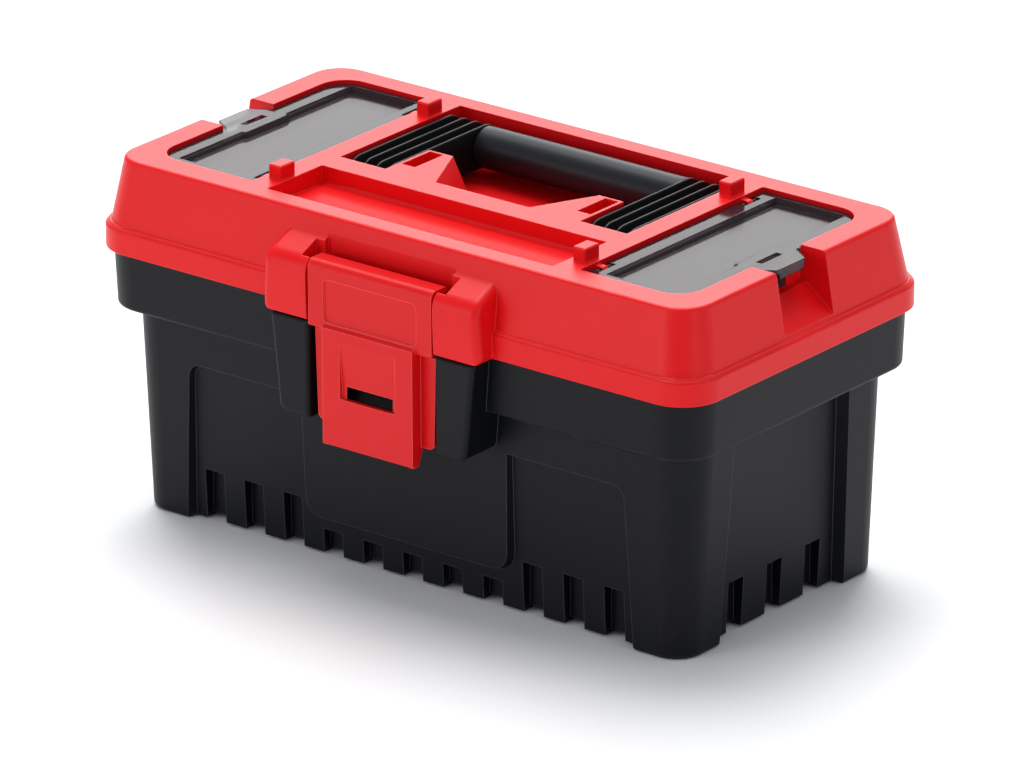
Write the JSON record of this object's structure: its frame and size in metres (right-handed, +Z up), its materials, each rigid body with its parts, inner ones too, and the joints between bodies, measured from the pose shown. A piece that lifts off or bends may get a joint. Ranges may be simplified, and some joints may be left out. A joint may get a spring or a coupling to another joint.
{
  "type": "toolbox with tray",
  "caption": "Plastic toolbox with hinged red lid, fold-down carrying handle, clear organiser lids, front snap latch and lift-out tray.",
  "frame": {"origin": "centre of the whole box's footprint, on the ground under its feet", "axes": "+X along the length, the latch faces -Y, +Z up"},
  "size_m": [0.328, 0.18, 0.1682],
  "materials": {
    "tub_black": "black polypropylene, fine satin moulding texture",
    "lid_red": "red polypropylene, satin moulding texture",
    "latch_red": "red polypropylene, satin moulding texture",
    "handle_black": "black polypropylene, satin",
    "grip_grey": "dark grey satin plastic",
    "smoked_clear": "smoked clear polystyrene, polished",
    "pin_steel": "drawn steel wire",
    "tray_black": "black polypropylene, satin"
  },
  "bodies": {
    "base": {"base_tub": "tub_black", "lid_hinge_pin_left": "pin_steel", "lid_hinge_pin_right": "pin_steel"},
    "lid": {"lid_shell": "lid_red"},
    "latch": {"front_latch": "latch_red"},
    "handle": {"handle_arm_left": "handle_black", "handle_arm_right": "handle_black", "handle_grip": "grip_grey"},
    "organiser_left": {"organiser_lid_left": "smoked_clear"},
    "organiser_right": {"organiser_lid_right": "smoked_clear"},
    "tray": {"tray_body": "tray_black", "tray_divider_left": "tray_black", "tray_divider_right": "tray_black"}
  },
  "joints": [
    {"name": "lid_hinge", "type": "hinge", "parent": "base", "child": "lid", "pos_m": [0, 0.087, 0.117], "axis": [-1, 0, 0], "range_deg": [0, 100]},
    {"name": "latch_hinge", "type": "hinge", "parent": "lid", "child": "latch", "pos_m": [0, -0.0825, 0.1434], "axis": [-1, 0, 0], "range_deg": [0, 110]},
    {"name": "handle_hinge", "type": "hinge", "parent": "lid", "child": "handle", "pos_m": [0, -0.001, 0.152], "axis": [1, 0, 0], "range_deg": [0, 90]},
    {"name": "organiser_left_hinge", "type": "hinge", "parent": "lid", "child": "organiser_left", "pos_m": [-0.0913, 0.0055, 0.1587], "axis": [0, 1, 0], "range_deg": [0, 95]},
    {"name": "organiser_right_hinge", "type": "hinge", "parent": "lid", "child": "organiser_right", "pos_m": [0.0913, 0.0055, 0.1587], "axis": [0, -1, 0], "range_deg": [0, 95]},
    {"name": "tray_lift", "type": "slide", "parent": "base", "child": "tray", "axis": [0, 0, 1], "range_m": [0, 0.009]}
  ]
}
